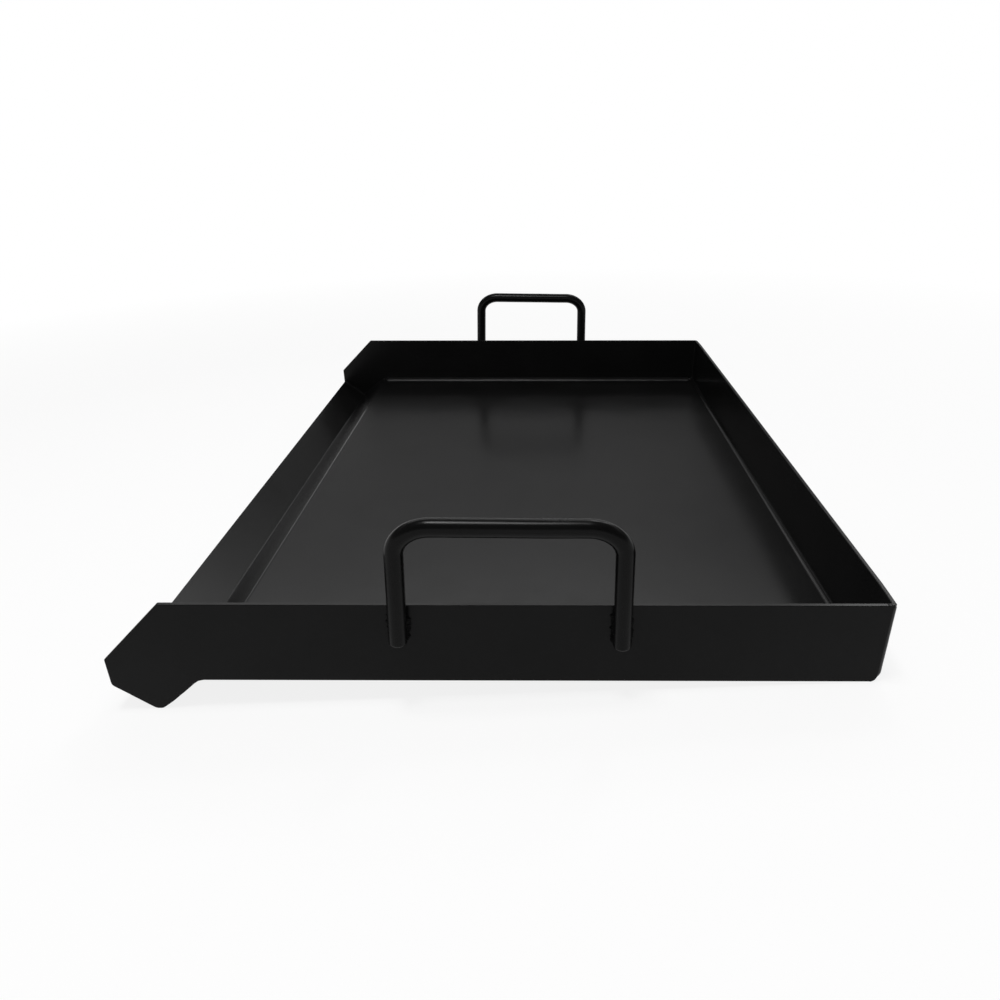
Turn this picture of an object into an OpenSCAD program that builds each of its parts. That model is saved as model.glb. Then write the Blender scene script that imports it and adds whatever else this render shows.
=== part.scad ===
// Camp griddle plate: a bent sheet-steel pan with a grease gutter along one long side,
// welded end plates and a loop handle of round bar at each end.
// X runs across the griddle from the gutter to the back wall, Y along it and Z up.
// The origin is the middle of the flat underside of the floor.
// Left and right are as the cook sees them, standing at the gutter.

/* [Pan] */
// Outside length over both end plates
pan_length = 560; // [400:5:760]
// Width of the flat floor between its two long bends
floor_width = 352; // [240:1:480]
// Height of the rim above the underside of the floor
rim_height = 47; // [40:1:70]
// Thickness of the sheet that makes the floor, the back wall and the gutter
sheet_thickness = 2.5; // [1.5:0.1:4]
// Inside radius of the bend between the floor and the back wall
back_bend_radius = 3.5; // [2.5:0.25:6]
// Thickness of the two end plates
end_plate_thickness = 2.5; // [1.5:0.1:4]

/* [Gutter] */
// Slope of both sides of the gutter, in degrees
gutter_angle = 37; // [25:1:48]
// Inside radius of the gutter's two bends
gutter_bend_radius = 1.5; // [1:0.25:4]
// Depth of the gutter's outer bottom below the underside of the floor
gutter_depth = 19; // [12:0.1:26]
// Reach of the lip's edge beyond the bottom line of the gutter
lip_reach = 22; // [14:0.2:30]

/* [Ears] */
// Run along the rim of each end plate's slanted corner
ear_slant_run = 34.6; // [20:0.2:50]
// Drop of the slanted corner below the rim
ear_slant_drop = 34; // [20:0.5:36]

/* [Handles] */
// Diameter of the round bar
bar_diameter = 9.5; // [6:0.5:14]
// Distance between the centre lines of a handle's two legs
leg_spacing = 112; // [80:0.5:160]
// Height of the grip's centre line above the rim
grip_rise = 45.5; // [35:0.5:70]
// Radius of the bar's bends at its centre line
bar_bend_radius = 16; // [10:0.5:30]
// Length of leg that lies on the end plate below the rim
leg_overlap = 20; // [12:0.5:32]
// Chamfer on the cut ends of the bar
bar_end_chamfer = 0.8; // [0.2:0.1:2]
// Distance of the right handle from the middle of the floor, towards the gutter
right_handle_offset = 12; // [0:0.5:40]
// The same for the left handle
left_handle_offset = 7; // [0:0.5:40]

/* [Welds] */
// Leg length of the seam between the floor and an end plate
floor_weld_leg = 3; // [2:0.25:6]
// Leg length of the seam between the gutter and an end plate
gutter_weld_leg = 2.5; // [1.5:0.25:4]
// Width of a handle bead on the plate, beside the bar
handle_weld_spread = 2; // [1:0.25:4]
// Height of a handle bead off the plate
handle_weld_rise = 3.5; // [2:0.25:5]
// Distance from the rim to the upper end of a handle bead
handle_weld_stop = 3; // [1:0.5:8]

/* [Hidden] */
$fn = 96;

steel_black = "#232323";
bar_black = "#1b1b1b";
weld_black = "#2e2e2e";

// Sheet: bends, walls and the length between the end plates
back_outer_radius = back_bend_radius + sheet_thickness;
gutter_outer_radius = gutter_bend_radius + sheet_thickness;
sheet_end = pan_length / 2 - end_plate_thickness;
floor_edge = floor_width / 2;
wall_inside = floor_edge + back_bend_radius;
back_bend = [floor_edge, back_outer_radius];
floor_bend = [-floor_edge, -gutter_bend_radius];
cut_reach = gutter_outer_radius + sheet_thickness;
fill_reach = gutter_bend_radius + 0.15 * sheet_thickness;
// Each arc crosses the flats that it joins by this much, so that they meet in a clear edge
arc_overlap = 0.003;

// Gutter: the straight inner side, the rounded bottom and the straight lip
both_bends = gutter_outer_radius + gutter_bend_radius;
slope_length = (gutter_depth - both_bends * (1 - cos(gutter_angle))) / sin(gutter_angle);
gutter_middle = -floor_edge - both_bends * sin(gutter_angle) - slope_length * cos(gutter_angle);
gutter_bend = [gutter_middle, gutter_outer_radius - gutter_depth];
lip_edge = gutter_middle - lip_reach;
lip_length = (lip_reach - gutter_bend_radius * sin(gutter_angle)) / cos(gutter_angle);

// Handles: bar, legs and where they lie on the end plate
bar_radius = bar_diameter / 2;
leg_bottom = rim_height - leg_overlap;
leg_top = rim_height + grip_rise - bar_bend_radius;
bend_reach = leg_spacing / 2 - bar_bend_radius;

// Welds: how far the gutter's two seams run into each other, and a handle bead's hidden root
seam_lap = 0.2;
bead_root = bar_radius / 2;
bead_ledge = 0.3;

function polar(radius, angle) = [radius * cos(angle), radius * sin(angle)];

// The sharp corner that the gutter's two sides make at a distance of radius from its bend's centre
function gutter_corner(radius) = gutter_bend - [0, radius / cos(gutter_angle)];

// The same between the floor and the gutter's inner side
function floor_corner(radius) =
    floor_bend + polar(radius / cos(gutter_angle / 2), 90 + gutter_angle / 2);

// Height of the lip's surface at its edge
function lip_height(radius) = gutter_corner(radius).y + lip_reach * tan(gutter_angle);

// What lies between a bend's arc and the sharp corner outside it, round the bend's centre
module bend_corner(radius, direction, half_angle, reach) {
    difference() {
        polygon([
            [0, 0],
            polar(reach, direction - half_angle),
            polar(reach / cos(half_angle), direction),
            polar(reach, direction + half_angle)
        ]);
        circle(radius + arc_overlap);
    }
}

module floor_bend_corner(radius, reach) {
    translate(floor_bend)
        bend_corner(radius, 90 + gutter_angle / 2, gutter_angle / 2, reach);
}

module gutter_bend_corner(radius, reach) {
    translate(gutter_bend)
        bend_corner(radius, 270, gutter_angle, reach);
}

// Floor, gutter and lip: flats that meet in sharp corners, which the bends cut off outside and fill inside
module floor_section() {
    difference() {
        polygon([
            [lip_edge, lip_height(gutter_outer_radius)],
            gutter_corner(gutter_outer_radius),
            floor_corner(gutter_bend_radius),
            [floor_edge, 0],
            [floor_edge, sheet_thickness],
            floor_corner(gutter_outer_radius),
            gutter_corner(gutter_bend_radius),
            [lip_edge, lip_height(gutter_bend_radius)]
        ]);
        floor_bend_corner(gutter_outer_radius, cut_reach);
        gutter_bend_corner(gutter_outer_radius, cut_reach);
    }
    floor_bend_corner(gutter_bend_radius, fill_reach);
    gutter_bend_corner(gutter_bend_radius, fill_reach);
}

module back_section() {
    translate(back_bend)
        intersection() {
            difference() {
                circle(back_outer_radius);
                circle(back_bend_radius);
            }
            translate([0, -back_outer_radius])
                square(back_outer_radius);
        }
    translate([wall_inside, back_outer_radius])
        square([sheet_thickness, rim_height - back_outer_radius]);
}

// The end plate covers the ends of the floor and the gutter and stops at the inside of the back wall
module end_plate_section() {
    difference() {
        polygon([
            [lip_edge, lip_height(gutter_outer_radius)],
            gutter_corner(gutter_outer_radius),
            floor_corner(gutter_bend_radius),
            [floor_edge, 0],
            back_bend,
            [wall_inside, back_outer_radius],
            [wall_inside, rim_height],
            [lip_edge + ear_slant_run, rim_height],
            [lip_edge, rim_height - ear_slant_drop]
        ]);
        gutter_bend_corner(gutter_outer_radius, cut_reach);
    }
    floor_bend_corner(gutter_bend_radius, fill_reach);
    translate(back_bend)
        circle(back_bend_radius);
}

module end_plate() {
    translate([0, -sheet_end, 0])
        rotate([90, 0, 0])
            linear_extrude(end_plate_thickness)
                end_plate_section();
}

// A loop of round bar whose legs lie on the outside of the end plate
module handle(offset) {
    translate([-offset, -pan_length / 2 - bar_radius, 0]) {
        for (side = [-1, 1]) {
            translate([side * leg_spacing / 2, 0, leg_bottom]) {
                cylinder(h = bar_end_chamfer, r1 = bar_radius - bar_end_chamfer, r2 = bar_radius);
                translate([0, 0, bar_end_chamfer])
                    cylinder(h = leg_top - leg_bottom - bar_end_chamfer, r = bar_radius);
            }
            translate([side * bend_reach, 0, leg_top])
                rotate([90, 0, 0])
                    rotate([0, 0, side > 0 ? 0 : 90])
                        rotate_extrude(angle = 90)
                            translate([bar_bend_radius, 0])
                                circle(bar_radius);
        }
        translate([-bend_reach, 0, rim_height + grip_rise])
            rotate([0, 90, 0])
                cylinder(h = 2 * bend_reach, r = bar_radius);
    }
}

// Section of a seam in an inside corner
module seam_section(leg) {
    polygon([[0, 0], [leg, 0], [0, leg]]);
}

// A straight seam from the origin along X, on a surface that faces Z and against a plate that faces Y
module straight_seam(length, leg) {
    rotate([90, 0, 90])
        linear_extrude(length)
            seam_section(leg);
}

module floor_weld() {
    translate([-floor_edge, -sheet_end, sheet_thickness])
        straight_seam(floor_width, floor_weld_leg);
}

// A seam up one side of the gutter, from the bottom line outwards
module gutter_side_seam(length) {
    start = gutter_bend_radius * tan(gutter_angle) + seam_lap;
    rotate([0, -gutter_angle, 0])
        translate([-start, 0, -gutter_bend_radius])
            straight_seam(start + length, gutter_weld_leg);
}

// Both seams meet in the middle, and the gutter's rounded bottom lies under them
module gutter_weld() {
    translate([gutter_bend.x, -sheet_end, gutter_bend.y])
        difference() {
            union() {
                gutter_side_seam(slope_length);
                mirror([1, 0, 0])
                    gutter_side_seam(lip_length);
            }
            translate([0, 2 * gutter_weld_leg, 0])
                rotate([90, 0, 0])
                    linear_extrude(3 * gutter_weld_leg)
                        bend_corner(gutter_bend_radius, 270, gutter_angle, gutter_outer_radius);
        }
}

// Section of the bead that fills the open corner between the back wall and an end plate
module corner_section() {
    round = min(sheet_thickness, end_plate_thickness);
    difference() {
        square([sheet_thickness, end_plate_thickness]);
        translate([sheet_thickness - round, end_plate_thickness - round])
            difference() {
                square(round);
                circle(round);
            }
    }
}

module corner_weld() {
    translate([wall_inside, -sheet_end, back_outer_radius])
        linear_extrude(rim_height - back_outer_radius)
            mirror([0, 1])
                corner_section();
    translate([back_bend.x, -sheet_end, back_bend.y])
        rotate([90, 0, 0])
            rotate([0, 0, -90])
                rotate_extrude(angle = 90)
                    translate([back_bend_radius, 0])
                        corner_section();
}

// A bead in the wedge between the end plate and one side of a leg
module handle_bead() {
    linear_extrude(leg_overlap - handle_weld_stop - bar_end_chamfer)
        difference() {
            polygon([
                [bead_root, 0],
                [bar_radius + handle_weld_spread, 0],
                [bar_radius + bead_ledge, -handle_weld_rise],
                [bead_root, -handle_weld_rise]
            ]);
            translate([0, -bar_radius])
                circle(bar_radius);
        }
}

module handle_welds(offset) {
    for (leg = [-1, 1])
        translate([leg * leg_spacing / 2 - offset, -pan_length / 2, leg_bottom + bar_end_chamfer]) {
            handle_bead();
            mirror([1, 0, 0])
                handle_bead();
        }
}

module pan_sheet() {
    color(steel_black)
        translate([0, sheet_end, 0])
            rotate([90, 0, 0])
                linear_extrude(2 * sheet_end) {
                    floor_section();
                    back_section();
                }
}

module right_end_plate() {
    color(steel_black)
        end_plate();
}

module left_end_plate() {
    color(steel_black)
        mirror([0, 1, 0])
            end_plate();
}

module right_handle() {
    color(bar_black)
        handle(right_handle_offset);
}

module left_handle() {
    color(bar_black)
        mirror([0, 1, 0])
            handle(left_handle_offset);
}

module right_floor_weld() {
    color(weld_black)
        floor_weld();
}

module left_floor_weld() {
    color(weld_black)
        mirror([0, 1, 0])
            floor_weld();
}

module right_gutter_weld() {
    color(weld_black)
        gutter_weld();
}

module left_gutter_weld() {
    color(weld_black)
        mirror([0, 1, 0])
            gutter_weld();
}

module right_corner_weld() {
    color(weld_black)
        corner_weld();
}

module left_corner_weld() {
    color(weld_black)
        mirror([0, 1, 0])
            corner_weld();
}

module right_handle_welds() {
    color(weld_black)
        handle_welds(right_handle_offset);
}

module left_handle_welds() {
    color(weld_black)
        mirror([0, 1, 0])
            handle_welds(left_handle_offset);
}

pan_sheet();
right_end_plate();
left_end_plate();
right_handle();
left_handle();
right_floor_weld();
left_floor_weld();
right_gutter_weld();
left_gutter_weld();
right_corner_weld();
left_corner_weld();
right_handle_welds();
left_handle_welds();
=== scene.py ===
"""Camp griddle plate: the looks of the welded pan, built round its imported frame."""
import math

import bmesh
import bpy
from mathutils import Matrix, Vector, noise


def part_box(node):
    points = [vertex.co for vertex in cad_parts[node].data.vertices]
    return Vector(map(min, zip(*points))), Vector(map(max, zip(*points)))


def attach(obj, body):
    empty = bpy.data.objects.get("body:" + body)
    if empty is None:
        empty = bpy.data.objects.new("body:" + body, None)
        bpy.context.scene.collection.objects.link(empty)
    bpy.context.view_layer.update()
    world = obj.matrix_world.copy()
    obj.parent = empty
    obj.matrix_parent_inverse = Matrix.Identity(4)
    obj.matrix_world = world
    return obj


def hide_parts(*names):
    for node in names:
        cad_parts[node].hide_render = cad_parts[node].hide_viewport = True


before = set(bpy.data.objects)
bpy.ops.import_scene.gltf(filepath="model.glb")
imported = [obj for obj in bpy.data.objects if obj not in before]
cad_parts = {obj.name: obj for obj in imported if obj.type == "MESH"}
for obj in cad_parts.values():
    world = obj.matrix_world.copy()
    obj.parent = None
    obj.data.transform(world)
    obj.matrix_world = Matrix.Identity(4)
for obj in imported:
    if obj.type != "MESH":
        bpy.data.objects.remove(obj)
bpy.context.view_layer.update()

# Sizes of the part are millimetres in its frame, and meshes are scaled to metres as they are made. Grain,
# the floor's glow and the lamps are in metres
MM = 0.001

# Sheet, bends and gutter, with each bend's radius inside and outside
SHEET = 2.5
BACK_INNER = 3.5
BACK_OUTER = BACK_INNER + SHEET
GUTTER_INNER = 1.5
GUTTER_OUTER = GUTTER_INNER + SHEET
GUTTER_ANGLE = math.radians(37)
EAR_SLANT_RUN = 34.6
EAR_SLANT_DROP = 34.0

# Soft edges of cut sheet, under its coating. A plate's edges are flat a little way from their soft
# corners, and its top edge slopes outwards
CUT_EDGE = 0.3
EDGE_STEPS = 4
FLAT_FROM = 0.15
RIM_SLOPE = 0.022
WALL_EDGE_OUT = 0.8
WALL_EDGE_IN = 0.5
EAR_TIP_ROUND = 1.6
EAR_FOOT_ROUND = 3.2
EAR_BLEND = 6.0

# The sheet's unevenness: how high and how long its bumps are, and over what length they fade out
FLOOR_BUMP = 0.35
FLOOR_BUMP_SIZE = 150
FLOOR_FADE = 40
LIP_BUMP = 0.35
LIP_BUMP_SIZE = 170
LIP_FADE = 25
END_FADE = 60

# The back wall leans out by this much at its rim, with bumps, and is true where the end plates hold it
WALL_LEAN = 0.75
WALL_BUMP = 0.15
WALL_BUMP_SIZE = 210
WALL_FADE = 18

# Hand cutting under the ear: how full its inner side is, how fast that fades upwards, and the cut's bumps
EAR_FULL = 0.7
EAR_FULL_FALL = 1.5
EAR_UNDER_FADE = 2
EAR_SIDE_FADE = 3
CUT_BUMP = 0.15
CUT_BUMP_SIZE = 4

# Bars: a bend's reach along the grip and down the leg, a waver that fades towards the feet, and the mesh
BEND_RUN = 18.0
BEND_DROP = 14.5
BAR_WAVER = 0.18
BAR_WAVER_SIZE = 26
BAR_WAVER_REACH = 1.3
BAR_END_ROUND = 1.6
BAR_SIDES = 40
BAR_END_STEPS = 5
LEG_STEPS = 12
BEND_STEPS = 24
GRIP_STEPS = 16

# Handles, bent by hand: for each end how far its two legs spread from the bends down, how far they sit
# inside the true loop at the bends, how much longer they are, how much lower the grip's back end is, and
# how much higher the whole grip is
LEG_SPREAD = {-1: (math.radians(2.1), math.radians(1.0)), 1: (math.radians(1.8), math.radians(0.4))}
LEG_INSET = {-1: (0.75, 0.4), 1: (0.0, -0.7)}
LEG_EXTRA = {-1: (0.0, 2.0), 1: (0.0, 0.0)}
GRIP_DROP = {-1: 0.5, 1: 0.8}
GRIP_LIFT = {-1: 0.25, 1: 0.5}

# Welds: a bead is full (crown 1), flat (0) or hollow (-1), and has ripples of a height and a pitch. Near
# its ends it shrinks to a share of its size. Its legs waver by a share of their length, in lumps of a size.
# The other values say where a bead lies, starts and stops, and how finely it is stepped
FLOOR_BEAD = {"crown": 1.0, "height": 0.04, "pitch": 2.3, "uneven": 0.06, "lump": 9, "across": 15}
FLOOR_BEAD_LEGS = (7.0, 2.0)
FLOOR_BEAD_PAST = 0.6
FLOOR_BEAD_STEP = 0.5
GUTTER_BEAD = {"crown": 0.35, "height": 0.12, "pitch": 2.1}
GUTTER_BEAD_LEGS = (2.2, 2.2)
GUTTER_BEAD_FROM_EDGE = 0.4
GUTTER_BEAD_STEP = 0.5
GUTTER_BEND_STEPS = 12
FLOOR_BEND_STEPS = 8
CORNER_BEAD = {
    "crown": 1.0, "height": 0.012, "pitch": 2.4, "end_taper": 1.8, "end_size": 0.62, "uneven": 0.02,
}
CORNER_BEAD_STEP = 0.6
CORNER_BEND_STEPS = 18
CORNER_SEAM = 0.1
CORNER_HIDDEN = 1.0
HANDLE_BEAD = {"crown": -0.2, "height": 0.4, "pitch": 1.3, "end_taper": 1.5, "uneven": 0.55, "lump": 1.8}
HANDLE_BEAD_STEP = 0.3
HANDLE_BEAD_ROOT = 0.8
HANDLE_BEAD_SPREAD = 1.1
HANDLE_BEAD_RISE = 2.8
HANDLE_BEAD_STOP = 4.0
HANDLE_BEAD_STAGGER = 2.5
HANDLE_BEAD_BELOW = 1.0
HANDLE_BEAD_SEEDS = 2.3

# Every bead: how far its root lies inside the corner and its toes sink into the metal, how strong and how
# long a slow waver is beside the quick one, and how far the ripples bow and how round they are
BEAD_ROOT = 0.35
BEAD_SINK = 0.3
SLOW_WAVER = 0.8
SLOW_WAVER_SIZE = 4
RIPPLE_BOW = 0.45
RIPPLE_ROUND = 0.6


def node_box(node):
    low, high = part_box(node)
    return low / MM, high / MM


pan_low, pan_high = node_box("pan_sheet")
plate_low, _ = node_box("right_end_plate")
HANDLE_BOX = {-1: node_box("right_handle"), 1: node_box("left_handle")}
bar_low, bar_high = HANDLE_BOX[-1]

RIM = pan_high.z
LIP_EDGE = pan_low.x
WALL_OUT = pan_high.x
WALL_IN = WALL_OUT - SHEET
FLOOR_EDGE = WALL_OUT - BACK_OUTER
SHEET_END = pan_high.y
PLATE_OUT = -plate_low.y
BAR_RADIUS = (bar_high.y - bar_low.y) / 2
BAR_FOOT = bar_low.z
GRIP_HEIGHT = bar_high.z - BAR_RADIUS
BAR_OFFSET = PLATE_OUT + BAR_RADIUS

# Centres of the bends, as (x, z)
GUTTER_DEPTH = -pan_low.z
BOTH_BENDS = GUTTER_OUTER + GUTTER_INNER
SLOPE = (GUTTER_DEPTH - BOTH_BENDS * (1 - math.cos(GUTTER_ANGLE))) / math.sin(GUTTER_ANGLE)
GUTTER_X = -FLOOR_EDGE - BOTH_BENDS * math.sin(GUTTER_ANGLE) - SLOPE * math.cos(GUTTER_ANGLE)
GUTTER_CENTRE = Vector((GUTTER_X, GUTTER_OUTER - GUTTER_DEPTH))
FLOOR_CENTRE = Vector((-FLOOR_EDGE, -GUTTER_INNER))
BACK_CENTRE = Vector((FLOOR_EDGE, BACK_OUTER))


def gutter_corner(radius):
    return GUTTER_CENTRE - Vector((0, radius / math.cos(GUTTER_ANGLE)))


def floor_corner(radius):
    half = GUTTER_ANGLE / 2
    return FLOOR_CENTRE + Vector((-math.sin(half), math.cos(half))) * (radius / math.cos(half))


def lip_height(radius):
    return gutter_corner(radius).y + (GUTTER_X - LIP_EDGE) * math.tan(GUTTER_ANGLE)


# Outlines and meshes


def turned(vector, angle):
    c, s = math.cos(angle), math.sin(angle)
    return Vector((c * vector.x - s * vector.y, s * vector.x + c * vector.y))


def rounded(corners, arc_step=math.radians(6)):
    """A closed outline whose corners are given as (x, z, radius)."""
    outline = []
    for i, (x, z, radius) in enumerate(corners):
        here = Vector((x, z))
        before = (Vector(corners[i - 1][:2]) - here).normalized()
        after = (Vector(corners[(i + 1) % len(corners)][:2]) - here).normalized()
        if not radius:
            outline.append(here)
            continue
        half = before.angle(after) / 2
        centre = here + (before + after).normalized() * (radius / math.sin(half))
        start = here + before * (radius / math.tan(half)) - centre
        turn = math.pi - 2 * half
        if before.x * after.y - before.y * after.x > 0:
            turn = -turn
        steps = max(3, math.ceil(abs(turn) / arc_step))
        outline += [centre + turned(start, turn * k / steps) for k in range(steps + 1)]
    return outline


def divided(outline, longest):
    """The same closed outline with no side over a given length."""
    out = []
    for i, here in enumerate(outline):
        after = outline[(i + 1) % len(outline)]
        steps = max(1, math.ceil((after - here).length / longest))
        out += [here.lerp(after, k / steps) for k in range(steps)]
    return out


def inset(outline, distance, sharpest=0.5):
    """The outline moved inwards, where a sharp corner moves no further than a limit allows."""
    out = []
    for i, here in enumerate(outline):
        a = (here - outline[i - 1]).normalized()
        b = (outline[(i + 1) % len(outline)] - here).normalized()
        inward = Vector((-a.y - b.y, a.x + b.x))
        inward.normalize()
        out.append(here + inward * (distance / max(sharpest, inward.dot(Vector((-a.y, a.x))))))
    return out


def lofted(rings):
    """Points and faces of a closed skin through rings of equal length."""
    count = len(rings[0])
    points = [p for ring in rings for p in ring]
    faces = []
    for r in range(len(rings) - 1):
        for k in range(count):
            n = (k + 1) % count
            faces.append((r * count + k, r * count + n, (r + 1) * count + n, (r + 1) * count + k))
    faces.append(tuple(range(count))[::-1])
    faces.append(tuple((len(rings) - 1) * count + k for k in range(count)))
    return points, faces


def piece(name, skins, material, slot, *nodes):
    """A smooth-shaded object made of closed skins, which stands for CAD nodes."""
    mesh = bpy.data.meshes.new(name)
    points, faces = [], []
    for skin_points, skin_faces in skins:
        start = len(points)
        points += [Vector(p) * MM for p in skin_points]
        faces += [tuple(i + start for i in f) for f in skin_faces]
    mesh.from_pydata(points, [], faces)
    shape = bmesh.new()
    shape.from_mesh(mesh)
    bmesh.ops.recalc_face_normals(shape, faces=shape.faces)
    shape.to_mesh(mesh)
    shape.free()
    mesh.shade_smooth()
    mesh.materials.append(material)
    obj = bpy.data.objects.new(name, mesh)
    bpy.context.scene.collection.objects.link(obj)
    edges = obj.modifiers.new("flat faces stay flat", "WEIGHTED_NORMAL")
    edges.keep_sharp = False
    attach(obj, "root")
    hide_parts(*nodes)


def wave(x, y, size, seed):
    """Smooth unevenness from -1 to 1 with bumps of about the given size."""
    return noise.noise(Vector((x / size, y / size, seed)))


def eased(x):
    x = min(1.0, max(0.0, x))
    return x * x * (3 - 2 * x)


# Materials: a black heat-proof coating with fine grain, over sheet, bar and weld metal

# Scales of the coating's shade, gloss and orange peel, and the parts of their noise that are spread out
SHADE_SCALE = 22
GLOSS_SCALE = 35
PEEL_SCALE = 140
SHADE_RANGE = (0.35, 0.7)
GLOSS_RANGE = (0.3, 0.7)


def ranged(tree, value, start, end, low=0, high=1):
    """A value moved from one range to another."""
    node = tree.nodes.new("ShaderNodeMapRange")
    for socket, number in (("From Min", start), ("From Max", end), ("To Min", low), ("To Max", high)):
        node.inputs[socket].default_value = number
    tree.links.new(value, node.inputs["Value"])
    return node.outputs["Result"]


def coating(name, darkest, lightest, roughness, specular, grain, grain_size, peel):
    material = bpy.data.materials.new(name)
    material.use_nodes = True
    tree = material.node_tree
    nodes, links = tree.nodes, tree.links
    shader = nodes["Principled BSDF"]
    shader.inputs["Specular IOR Level"].default_value = specular
    place = nodes.new("ShaderNodeTexCoord").outputs["Object"]

    def speckle(scale, detail, roughness=0.55):
        texture = nodes.new("ShaderNodeTexNoise")
        texture.inputs["Scale"].default_value = scale
        texture.inputs["Detail"].default_value = detail
        texture.inputs["Roughness"].default_value = roughness
        links.new(place, texture.inputs["Vector"])
        return texture.outputs["Fac"]

    def bumps(height, distance):
        node = nodes.new("ShaderNodeBump")
        node.inputs["Strength"].default_value = 1
        node.inputs["Distance"].default_value = distance
        links.new(height, node.inputs["Height"])
        return node

    shade = nodes.new("ShaderNodeValToRGB")
    for stop, position, colour in zip(shade.color_ramp.elements, SHADE_RANGE, (darkest, lightest)):
        stop.position = position
        stop.color = (*colour, 1)
    links.new(speckle(SHADE_SCALE, detail=5), shade.inputs["Fac"])
    links.new(shade.outputs["Color"], shader.inputs["Base Color"])
    gloss = speckle(GLOSS_SCALE, detail=6, roughness=0.6)
    links.new(ranged(tree, gloss, *GLOSS_RANGE, *roughness), shader.inputs["Roughness"])

    fine = bumps(speckle(1 / grain_size, detail=2), grain)
    broad = bumps(speckle(PEEL_SCALE, detail=3), peel)
    links.new(fine.outputs["Normal"], broad.inputs["Normal"])
    links.new(broad.outputs["Normal"], shader.inputs["Normal"])
    return material


steel = coating(
    "satin black coat",
    darkest=(0.004, 0.004, 0.004),
    lightest=(0.0054, 0.0054, 0.0055),
    roughness=(0.2, 0.24),
    specular=0.09,
    grain=1.5e-6,
    grain_size=0.0007,
    peel=3e-6,
)
bar_coat = coating(
    "semi-gloss black coat",
    darkest=(0.0024, 0.0024, 0.0024),
    lightest=(0.004, 0.004, 0.004),
    roughness=(0.23, 0.28),
    specular=0.095,
    grain=4e-6,
    grain_size=0.0009,
    peel=1.6e-5,
)
weld_coat = coating(
    "coated weld",
    darkest=(0.004, 0.004, 0.004),
    lightest=(0.008, 0.008, 0.008),
    roughness=(0.2, 0.26),
    specular=0.2,
    grain=3e-6,
    grain_size=0.0006,
    peel=8e-6,
)
floor_weld_coat = coating(
    "coated floor weld",
    darkest=(0.003, 0.003, 0.003),
    lightest=(0.006, 0.006, 0.006),
    roughness=(0.36, 0.44),
    specular=0.5,
    grain=4e-6,
    grain_size=0.0006,
    peel=1e-5,
)
rough_weld_coat = coating(
    "coated rough weld",
    darkest=(0.002, 0.002, 0.002),
    lightest=(0.0045, 0.0045, 0.0045),
    roughness=(0.4, 0.6),
    specular=0.04,
    grain=3e-5,
    grain_size=0.0005,
    peel=3e-5,
)


# Pan sheet: floor, back wall, gutter and lip, slightly uneven as bent and welded sheet is


def pan_offset(x, y, z):
    """How far the sheet strays from true, most in the middle and nothing at the welded ends."""
    from_end = SHEET_END - abs(y)
    floor = eased((FLOOR_EDGE - abs(x)) / FLOOR_FADE) * wave(x, y, FLOOR_BUMP_SIZE, seed=1.7) * FLOOR_BUMP
    lip = eased((GUTTER_X - x) / LIP_FADE) * wave(0, y, LIP_BUMP_SIZE, seed=7.9) * LIP_BUMP
    at_rim = WALL_LEAN + WALL_BUMP * wave(0, y, WALL_BUMP_SIZE, seed=4.2)
    wall = eased((x - FLOOR_EDGE) / BACK_INNER) * (z / RIM) * at_rim
    return Vector((wall * eased(from_end / WALL_FADE), 0, (floor + lip) * eased(from_end / END_FADE)))


pan_outline = divided(
    rounded(
        [
            (LIP_EDGE, lip_height(GUTTER_OUTER), CUT_EDGE),
            (*gutter_corner(GUTTER_OUTER), GUTTER_OUTER),
            (*floor_corner(GUTTER_INNER), GUTTER_INNER),
            (WALL_OUT, 0, BACK_OUTER),
            (WALL_OUT, RIM, WALL_EDGE_OUT),
            (WALL_IN, RIM, WALL_EDGE_IN),
            (WALL_IN, SHEET, BACK_INNER),
            (*floor_corner(GUTTER_OUTER), GUTTER_OUTER),
            (*gutter_corner(GUTTER_INNER), GUTTER_INNER),
            (LIP_EDGE, lip_height(GUTTER_INNER), CUT_EDGE),
        ]
    ),
    longest=12,
)

# Rings along the pan, with one close to each end so that smooth shading turns only there
PAN_STATIONS = 56
END_RING = 0.3
pan_stations = [SHEET_END * (2 * k / PAN_STATIONS - 1) for k in range(PAN_STATIONS + 1)]
pan_stations[1:1] = [END_RING - SHEET_END]
pan_stations[-1:-1] = [SHEET_END - END_RING]
pan_rings = []
for y in pan_stations:
    pan_rings.append([Vector((p.x, y, p.y)) + pan_offset(p.x, y, p.y) for p in pan_outline])
piece("pan", [lofted(pan_rings)], steel, "black_steel", "pan_sheet")


# End plates: flat plates with an ear that closes the gutter, soft along every cut edge that isn't welded

plate_outline = divided(
    rounded(
        [
            (LIP_EDGE, lip_height(GUTTER_OUTER), EAR_FOOT_ROUND),
            (*gutter_corner(GUTTER_OUTER), GUTTER_OUTER),
            (*floor_corner(GUTTER_INNER), EAR_BLEND),
            (WALL_IN, 0, BACK_INNER),
            (WALL_IN, RIM, 0),
            (LIP_EDGE + EAR_SLANT_RUN, RIM, EAR_TIP_ROUND),
            (LIP_EDGE, RIM - EAR_SLANT_DROP, EAR_TIP_ROUND),
        ]
    ),
    longest=3,
)


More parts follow.
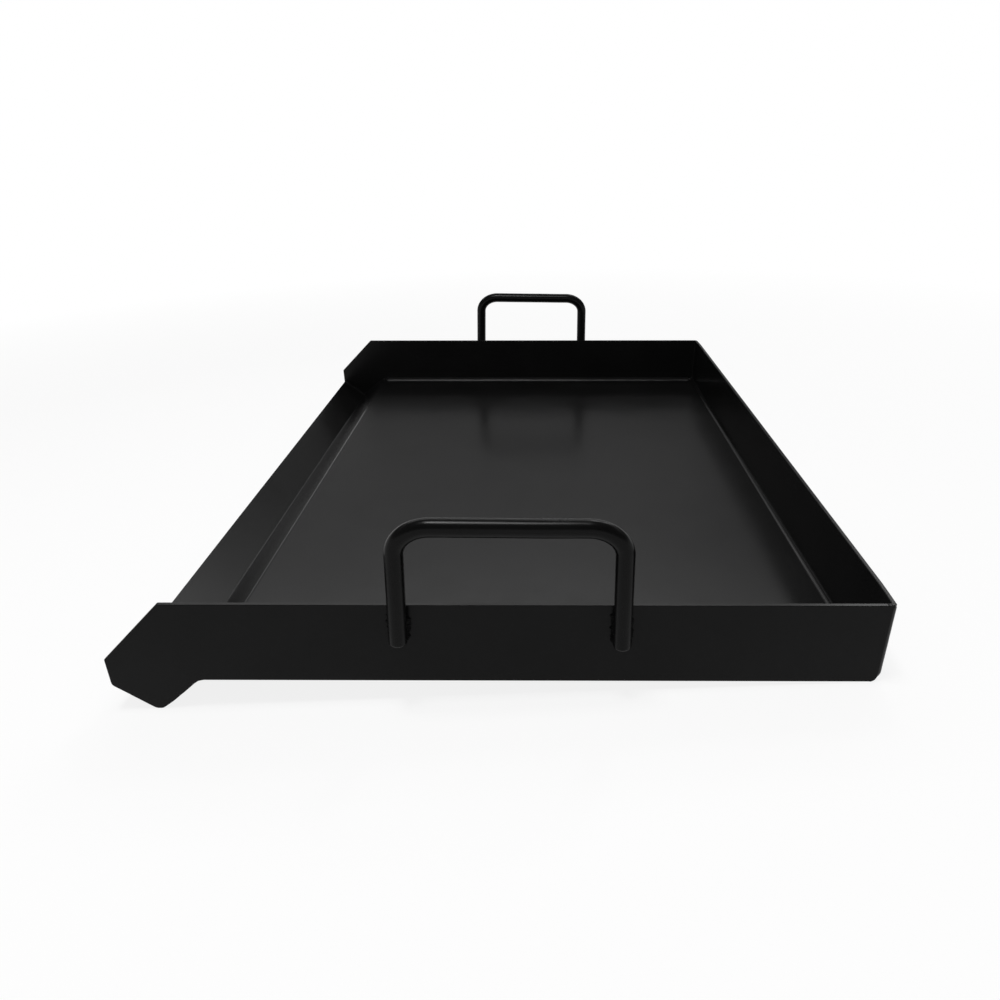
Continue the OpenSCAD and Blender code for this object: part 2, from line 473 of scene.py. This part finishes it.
def rough_cut(outline, seed):
    """The outline as cut by hand: uneven under the ear, whose inner side is full low down and lean above."""
    inner_side = Vector((math.sin(GUTTER_ANGLE), -math.cos(GUTTER_ANGLE)))
    out = []
    for p in outline:
        under = eased(-p.y / EAR_UNDER_FADE)
        side = under * eased((p.x - GUTTER_X) / EAR_SIDE_FADE)
        up = max(0.0, p.x - GUTTER_X) / (-FLOOR_EDGE - GUTTER_X)
        full = EAR_FULL * math.cos(math.pi * min(1.0, up) ** EAR_FULL_FALL)
        bump = CUT_BUMP * wave(p.x, p.y, CUT_BUMP_SIZE, seed)
        rise = CUT_BUMP * wave(p.x, p.y, CUT_BUMP_SIZE, seed + 5)
        out.append(p + inner_side * (side * (full + bump)) + Vector((0, under * rise)))
    return out


def soft_edge(outline, depth):
    """The outline drawn in by a soft edge, but not where the corner weld fills up to it."""
    drawn_in = []
    for p, q in zip(outline, inset(outline, depth)):
        if p.x <= FLOOR_EDGE:
            drawn_in.append(q)
        else:
            drawn_in.append(Vector((p.x, p.y if p.y < RIM else p.y - depth)))
    return drawn_in


def end_plate(side, seed):
    rings = []
    outline = rough_cut(plate_outline, seed)
    for face, way in ((PLATE_OUT, -1), (SHEET_END, 1)):
        steps = [
            (CUT_EDGE * (1 - math.sin(a)), face + way * CUT_EDGE * (1 - math.cos(a)))
            for a in (math.radians(90 * k / EDGE_STEPS) for k in range(EDGE_STEPS + 1))
        ]
        steps.append((0, face + way * (CUT_EDGE + FLAT_FROM)))
        for depth, y in steps if way < 0 else steps[::-1]:
            drop = RIM_SLOPE * (y - SHEET_END)
            ring = []
            for p in soft_edge(outline, depth):
                on_top = p.y > RIM - 2 * CUT_EDGE
                ring.append(Vector((p.x, side * y, p.y - drop if on_top else p.y)))
            rings.append(ring)
    return lofted(rings)


# Handles: a loop of round bar with softened cut ends


def bar_end(tip, inner):
    """Points and radii of a bar from its rounded tip inwards."""
    steps = []
    for k in range(BAR_END_STEPS + 1):
        a = math.radians(90 * k / BAR_END_STEPS)
        inside = tip.lerp(inner, BAR_END_ROUND * (1 - math.cos(a)) / (inner - tip).length)
        steps.append((inside, BAR_RADIUS - BAR_END_ROUND * (1 - math.sin(a))))
    return steps


def bar(path):
    """A round bar along points in the plane of a handle, rounded at both ends."""
    spine = bar_end(path[0], path[1])
    spine += [(p, BAR_RADIUS) for p in path[1:-1]]
    spine += bar_end(path[-1], path[-2])[::-1]
    rings = []
    for i, (here, size) in enumerate(spine):
        along = (spine[min(i + 1, len(spine) - 1)][0] - spine[max(i - 1, 0)][0]).normalized()
        out = Vector((0, 1, 0))
        across = along.cross(out)
        ring = []
        for k in range(BAR_SIDES):
            a = 2 * math.pi * k / BAR_SIDES
            ring.append(here + (out * math.cos(a) + across * math.sin(a)) * size)
        rings.append(ring)
    return lofted(rings)


def bend_centre(side, way):
    """Centre of a handle's bend at its gutter end (way -1) or its back end (way 1)."""
    low, high = HANDLE_BOX[side]
    outside = low.x if way < 0 else high.x
    x = outside - way * (BAR_RADIUS + LEG_INSET[side][(way + 1) // 2] + BEND_RUN)
    z = GRIP_HEIGHT + GRIP_LIFT[side] - BEND_DROP - way * GRIP_DROP[side] / 2
    return Vector((x, side * BAR_OFFSET, z))


def bend_point(side, way, angle):
    reach = Vector((way * math.cos(angle) * BEND_RUN, 0, math.sin(angle) * BEND_DROP))
    return bend_centre(side, way) + reach


def bend_start(side, way):
    """Where on the bend's quarter ellipse its slope is the leg's."""
    return math.atan(math.tan(LEG_SPREAD[side][(way + 1) // 2]) * BEND_DROP / BEND_RUN)


def leg_ends(side, way):
    """Foot and top of a leg's centre line."""
    spread = LEG_SPREAD[side][(way + 1) // 2]
    top = bend_point(side, way, bend_start(side, way))
    length = (top.z - BAR_FOOT + LEG_EXTRA[side][(way + 1) // 2]) / math.cos(spread)
    return top + Vector((way * math.sin(spread), 0, -math.cos(spread))) * length, top


def handle(side, seed):
    path = []
    for way in (-1, 1):
        first = bend_start(side, way)
        foot, top = leg_ends(side, way)
        part = [foot.lerp(top, k / LEG_STEPS) for k in range(LEG_STEPS)]
        for k in range(BEND_STEPS + 1):
            part.append(bend_point(side, way, first + (math.pi / 2 - first) * k / BEND_STEPS))
        path += part if way < 0 else part[::-1]
    grip = LEG_STEPS + BEND_STEPS + 1
    start, end = path[grip - 1], path[grip]
    path[grip:grip] = [start.lerp(end, k / GRIP_STEPS) for k in range(1, GRIP_STEPS)]
    middle = len(path) / 2
    for i, p in enumerate(path[1:-1]):
        share = eased(BAR_WAVER_REACH - abs(i - middle) / middle)
        p.z += BAR_WAVER * wave(p.x, p.z, BAR_WAVER_SIZE, seed) * share
    return bar(path)


# Welds: beads with a rippled crown and a wandering toe


def ripple(distance, across, pitch):
    """Crescent ripples: round crests with narrow valleys, bowed across the bead."""
    phase = distance / pitch + RIPPLE_BOW * (2 * across - 1) ** 2
    return abs(math.sin(math.pi * phase)) ** RIPPLE_ROUND


def bead(
    stations, legs, seed, crown, height, pitch, end_taper=3.0, end_size=0.45, uneven=0.13, lump=5, across=9
):
    """A bead along (point, first side, second side) stations, with a leg along each side."""

    def waver(s, seed):
        slow = wave(s, 0, SLOW_WAVER_SIZE * lump, seed + 3)
        return 1 + uneven * (wave(s, 0, lump, seed) + SLOW_WAVER * slow)

    distances = [0.0]
    for (a, _, _), (b, _, _) in zip(stations, stations[1:]):
        distances.append(distances[-1] + (b - a).length)
    rings = []
    for (corner, first, second), s in zip(stations, distances):
        ends = min(s, distances[-1] - s)
        taper = end_size + (1 - end_size) * eased(ends / end_taper)
        one = legs[0] * taper * waver(s, seed)
        two = legs[1] * taper * waver(s, seed + 5)
        ring = [corner - (first + second) * BEAD_ROOT, corner + first * one - second * BEAD_SINK]
        for k in range(across):
            t = k / (across - 1)
            a = math.radians(90 * t)
            flat = Vector((1 - t, t))
            full = Vector((math.cos(a), math.sin(a)))
            hollow = Vector((1 - math.sin(a), 1 - math.cos(a)))
            curve = flat.lerp(full, crown) if crown > 0 else flat.lerp(hollow, -crown)
            lift = 1 + height * math.sin(math.pi * t) * (ripple(s, t, pitch) - 0.5)
            ring.append(corner + first * (one * curve.x * lift) + second * (two * curve.y * lift))
        ring.append(corner + second * two - first * BEAD_SINK)
        rings.append(ring)
    return lofted(rings)


def stepped(start, end, step):
    count = max(2, math.ceil((end - start).length / step))
    return [start.lerp(end, k / count) for k in range(count + 1)]


def floor_weld(side, seed):
    into = Vector((0, -side, 0))
    up = Vector((0, 0, 1))
    y = side * SHEET_END
    end = Vector((FLOOR_EDGE + FLOOR_BEAD_PAST, y, SHEET))
    line = stepped(Vector((-FLOOR_EDGE, y, SHEET)), end, FLOOR_BEAD_STEP)
    return bead([(p, into, up) for p in line], FLOOR_BEAD_LEGS, seed, **FLOOR_BEAD)


def gutter_weld(side, seed):
    """Down the lip, round the gutter's bottom, up its inner side and over the bend to the floor."""
    into = Vector((0, -side, 0))
    y = side * SHEET_END
    walk = []
    lip_up = Vector((math.sin(GUTTER_ANGLE), math.cos(GUTTER_ANGLE)))
    slope_up = Vector((-math.sin(GUTTER_ANGLE), math.cos(GUTTER_ANGLE)))
    below_edge = lip_height(GUTTER_INNER) - GUTTER_BEAD_FROM_EDGE * math.tan(GUTTER_ANGLE)
    lip_start = Vector((LIP_EDGE + GUTTER_BEAD_FROM_EDGE, below_edge))
    lip_end = GUTTER_CENTRE - lip_up * GUTTER_INNER
    walk += [(p, lip_up) for p in stepped(lip_start, lip_end, GUTTER_BEAD_STEP)]
    for k in range(1, GUTTER_BEND_STEPS):
        up = turned(lip_up, 2 * GUTTER_ANGLE * k / GUTTER_BEND_STEPS)
        walk.append((GUTTER_CENTRE - up * GUTTER_INNER, up))
    slope_start = GUTTER_CENTRE - slope_up * GUTTER_INNER
    slope_end = FLOOR_CENTRE + slope_up * GUTTER_OUTER
    walk += [(p, slope_up) for p in stepped(slope_start, slope_end, GUTTER_BEAD_STEP)]
    for k in range(1, FLOOR_BEND_STEPS + 1):
        up = turned(slope_up, -GUTTER_ANGLE * k / FLOOR_BEND_STEPS)
        walk.append((FLOOR_CENTRE + up * GUTTER_OUTER, up))
    stations = [(Vector((p.x, y, p.y)), into, Vector((up.x, 0, up.y))) for p, up in walk]
    return bead(stations, GUTTER_BEAD_LEGS, seed, **GUTTER_BEAD)


def corner_weld(side, seed):
    """The open corner between an end plate and the back wall, filled round and flush."""
    out = Vector((0, side, 0))
    y = side * SHEET_END
    hidden_start = Vector((BACK_CENTRE.x - CORNER_HIDDEN, y, BACK_CENTRE.y - BACK_INNER))
    stations = [(hidden_start, Vector((0, 0, -1)), out)]
    for k in range(CORNER_BEND_STEPS + 1):
        a = math.radians(90 * k / CORNER_BEND_STEPS - 90)
        away = Vector((math.cos(a), 0, math.sin(a)))
        point = Vector((BACK_CENTRE.x, y, BACK_CENTRE.y)) + away * BACK_INNER
        stations.append((point, away, out))
    upright = stepped(Vector((WALL_IN, y, BACK_OUTER)), Vector((WALL_IN, y, RIM)), CORNER_BEAD_STEP)
    stations += [(p, Vector((1, 0, 0)), out) for p in upright[1:]]
    legs = (SHEET, PLATE_OUT - SHEET_END - CORNER_SEAM)
    return bead(stations, legs, seed, **CORNER_BEAD)


def handle_welds(side, seed):
    skins = []
    out = Vector((0, side, 0))
    on_plate = Vector((0, side * (PLATE_OUT - BAR_OFFSET), 0))
    for n, (leg, way) in enumerate(((-1, -1), (-1, 1), (1, -1), (1, 1))):
        foot, top = leg_ends(side, leg)
        along = (top - foot).normalized()
        away = Vector((way, 0, 0))
        beside = on_plate + away * (BAR_RADIUS * HANDLE_BEAD_ROOT)
        stop = (RIM - HANDLE_BEAD_STOP - HANDLE_BEAD_STAGGER * (n % 2) - foot.z) / along.z
        start = foot - along * HANDLE_BEAD_BELOW + beside
        line = stepped(start, foot + along * stop + beside, HANDLE_BEAD_STEP)
        legs = (HANDLE_BEAD_SPREAD + BAR_RADIUS * (1 - HANDLE_BEAD_ROOT), HANDLE_BEAD_RISE)
        stations = [(p, away, out) for p in line]
        skins.append(bead(stations, legs, seed + HANDLE_BEAD_SEEDS * n, **HANDLE_BEAD))
    return skins


for side, name, seed in ((-1, "right", 0.4), (1, "left", 30.6)):
    for part, skins, material, slot, node in (
        ("plate", [end_plate(side, seed)], steel, "black_steel", "end_plate"),
        ("loop", [handle(side, seed)], bar_coat, "black_bar", "handle"),
        ("floor_bead", [floor_weld(side, seed)], floor_weld_coat, "black_weld", "floor_weld"),
        ("gutter_bead", [gutter_weld(side, seed + 2)], rough_weld_coat, "black_weld", "gutter_weld"),
        ("corner_bead", [corner_weld(side, seed + 4)], weld_coat, "black_weld", "corner_weld"),
        ("handle_beads", handle_welds(side, seed + 6), rough_weld_coat, "black_weld", "handle_welds"),
    ):
        piece(f"{name}_{part}", skins, material, slot, f"{name}_{node}")


# Studio: a pale floor that the pan rests on, a white surround and soft lamps

PHOTO_SIZE = 1000
FOCAL_PIXELS = 778.8
MIDDLE_PIXEL = (533.6, 530.3)
CAMERA_PLACE = (2.41, -610.0, 257.6)
CAMERA_PITCH = math.radians(27.03)
CAMERA_TURN = math.radians(0.469)
CAMERA_ROLL = math.radians(-0.157)

# Share of the floor's white that comes from its own glow: less near the pan, where its shadow falls
GLOW_NEAR = 0.85
GLOW_NEAR_REACH = 0.5
GLOW_FULL_REACH = 1.2

# Brightness of the surround by height in degrees: a white cove low down and a dim room above it,
# with a bright strip of ceiling beyond the pan. The near levels turn into the far ones between two
# values of a direction's Y
SURROUND_NEAR = ((-90, 1.0), (8, 1.0), (14, 0.15), (26, 0.18), (46, 0.2), (90, 0.15))
SURROUND_FAR = (
    (-90, 1.0), (8, 1.0), (14, 0.14), (18, 0.19), (20, 0.33), (21.2, 0.45), (22.7, 0.52), (24.9, 0.57),
    (26, 0.52), (28, 0.62), (30, 0.93), (32, 2.1), (33.5, 4.3), (35.5, 4.3), (38, 1.3), (44, 0.3),
    (50, 0.2), (90, 0.12),
)
FAR_FROM_Y = (-0.1, 0.4)

# What the far levels are multiplied by across, where -1 is square to the left, 0 straight beyond the pan
# and 1 square to the right. The cove stays the same all round: this sets in between two heights in degrees
STRIP_ACROSS = (
    (-0.62, 0.2), (-0.46, 1.0), (0.08, 1.0), (0.14, 0.93), (0.18, 0.87), (0.22, 0.78), (0.26, 0.66),
    (0.3, 0.57), (0.33, 0.75), (0.38, 2.6), (0.46, 2.6), (0.52, 0.4),
)
COVE_TOP = (9, 14)


def combined(tree, operation, first, second):
    node = tree.nodes.new("ShaderNodeMath")
    node.operation = operation
    tree.links.new(first, node.inputs[0])
    tree.links.new(second, node.inputs[1])
    return node.outputs[0]


def background_rays(tree):
    """1 for rays that see the background: those from the camera, reflections and clear materials."""
    path = tree.nodes.new("ShaderNodeLightPath")
    seen = combined(tree, "MAXIMUM", path.outputs["Is Camera Ray"], path.outputs["Is Glossy Ray"])
    return combined(tree, "MAXIMUM", seen, path.outputs["Is Transmission Ray"])


def grey_levels(tree, value, levels):
    """Grey levels at places from 0 to 1 along a value."""
    ramp = tree.nodes.new("ShaderNodeValToRGB")
    while len(ramp.color_ramp.elements) < len(levels):
        ramp.color_ramp.elements.new(0.5)
    for stop, (position, level) in zip(ramp.color_ramp.elements, levels):
        stop.position = position
        stop.color = (level, level, level, 1)
    tree.links.new(value, ramp.inputs["Fac"])
    return ramp.outputs["Color"]


def blend(tree, kind, share, first, second):
    node = tree.nodes.new("ShaderNodeMixRGB")
    node.blend_type = kind
    for source, socket in ((share, "Fac"), (first, "Color1"), (second, "Color2")):
        tree.links.new(source, node.inputs[socket])
    return node.outputs["Color"]


def by_height(levels):
    """Levels by height in degrees, as levels by the world's Z moved from -1 to 1 on to 0 to 1."""
    return [((math.sin(math.radians(height)) + 1) / 2, level) for height, level in levels]


world = bpy.data.worlds.new("studio")
bpy.context.scene.world = world
world.use_nodes = True
tree = world.node_tree
heading = tree.nodes.new("ShaderNodeSeparateXYZ")
tree.links.new(tree.nodes.new("ShaderNodeTexCoord").outputs["Generated"], heading.inputs["Vector"])
height = ranged(tree, heading.outputs["Z"], -1, 1)
near = grey_levels(tree, height, by_height(SURROUND_NEAR))
far = grey_levels(tree, height, by_height(SURROUND_FAR))
across = ranged(tree, heading.outputs["X"], -1, 1)
strip = grey_levels(tree, across, [((x + 1) / 2, level) for x, level in STRIP_ACROSS])
above_cove = ranged(tree, heading.outputs["Z"], *(math.sin(math.radians(a)) for a in COVE_TOP))
beyond = ranged(tree, heading.outputs["Y"], *FAR_FROM_Y)
far = blend(tree, "MULTIPLY", above_cove, far, strip)
surround = blend(tree, "MIX", beyond, near, far)
tree.links.new(surround, tree.nodes["Background"].inputs["Color"])

pale = bpy.data.materials.new("pale floor")
pale.use_nodes = True
tree = pale.node_tree
nodes, links = tree.nodes, tree.links
matt = nodes["Principled BSDF"]
matt.inputs["Base Color"].default_value = (0.92, 0.92, 0.92, 1)
matt.inputs["Roughness"].default_value = 0.9
matt.inputs["Specular IOR Level"].default_value = 0
glow = nodes.new("ShaderNodeEmission")
glow.inputs["Strength"].default_value = 1
reach = nodes.new("ShaderNodeVectorMath")
reach.operation = "LENGTH"
links.new(nodes.new("ShaderNodeTexCoord").outputs["Object"], reach.inputs[0])
fade = ranged(tree, reach.outputs["Value"], GLOW_NEAR_REACH, GLOW_FULL_REACH, low=GLOW_NEAR)
surface = nodes.new("ShaderNodeMixShader")
links.new(combined(tree, "MULTIPLY", background_rays(tree), fade), surface.inputs["Fac"])
links.new(matt.outputs["BSDF"], surface.inputs[1])
links.new(glow.outputs["Emission"], surface.inputs[2])
links.new(surface.outputs["Shader"], nodes["Material Output"].inputs["Surface"])

# The gutter reaches below the floor, so the pan stands on the gutter's bottom and its back edge
lean = math.atan2(GUTTER_DEPTH, BACK_CENTRE.x - GUTTER_CENTRE.x)
HALF_FLOOR = 40000.0
FLOOR_GAP = 0.2
ground = bpy.data.meshes.new("floor")
ground.from_pydata(
    [Vector((x, y, 0)) * HALF_FLOOR * MM for x, y in ((-1, -1), (1, -1), (1, 1), (-1, 1))],
    [],
    [(0, 1, 2, 3)],
)
ground.materials.append(pale)
floor = bpy.data.objects.new("floor", ground)
bpy.context.scene.collection.objects.link(floor)
below = GUTTER_CENTRE + turned(Vector((0, -GUTTER_OUTER - FLOOR_GAP)), lean)
floor.location = Vector((below.x, 0, below.y)) * MM
floor.rotation_euler = (0, -lean, 0)


def softbox(name, place, target, width, depth, power):
    """A rectangular lamp that faces a target, in metres and watts."""
    data = bpy.data.lights.new(name, "AREA")
    data.shape = "RECTANGLE"
    data.size = width
    data.size_y = depth
    data.energy = power
    lamp = bpy.data.objects.new(name, data)
    bpy.context.scene.collection.objects.link(lamp)
    lamp.location = place
    lamp.rotation_euler = (Vector(target) - Vector(place)).to_track_quat("-Z", "Y").to_euler()


softbox("left", place=(-0.22, -0.33, 1.3), target=(-0.22, -0.33, 0), width=0.16, depth=0.33, power=6.4)
softbox("middle", place=(-0.04, -0.35, 1.3), target=(-0.04, -0.35, 0), width=0.2, depth=0.36, power=3.8)
softbox("right", place=(0.36, 0.76, 1.3), target=(0.36, -0.28, 0), width=0.3, depth=0.24, power=3.0)

view = bpy.data.cameras.new("camera")
view.sensor_width = 36
view.lens = view.sensor_width * FOCAL_PIXELS / PHOTO_SIZE
view.shift_x = (PHOTO_SIZE / 2 - MIDDLE_PIXEL[0]) / PHOTO_SIZE
view.shift_y = (MIDDLE_PIXEL[1] - PHOTO_SIZE / 2) / PHOTO_SIZE
view.clip_start = 0.01
camera = bpy.data.objects.new("camera", view)
bpy.context.scene.collection.objects.link(camera)
camera.location = Vector(CAMERA_PLACE) * MM
camera.rotation_euler = (
    Matrix.Rotation(CAMERA_TURN, 3, "Z")
    @ Matrix.Rotation(math.pi / 2 - CAMERA_PITCH, 3, "X")
    @ Matrix.Rotation(CAMERA_ROLL, 3, "Z")
).to_euler()
bpy.context.scene.camera = camera
bpy.context.scene.view_settings.view_transform = "Standard"
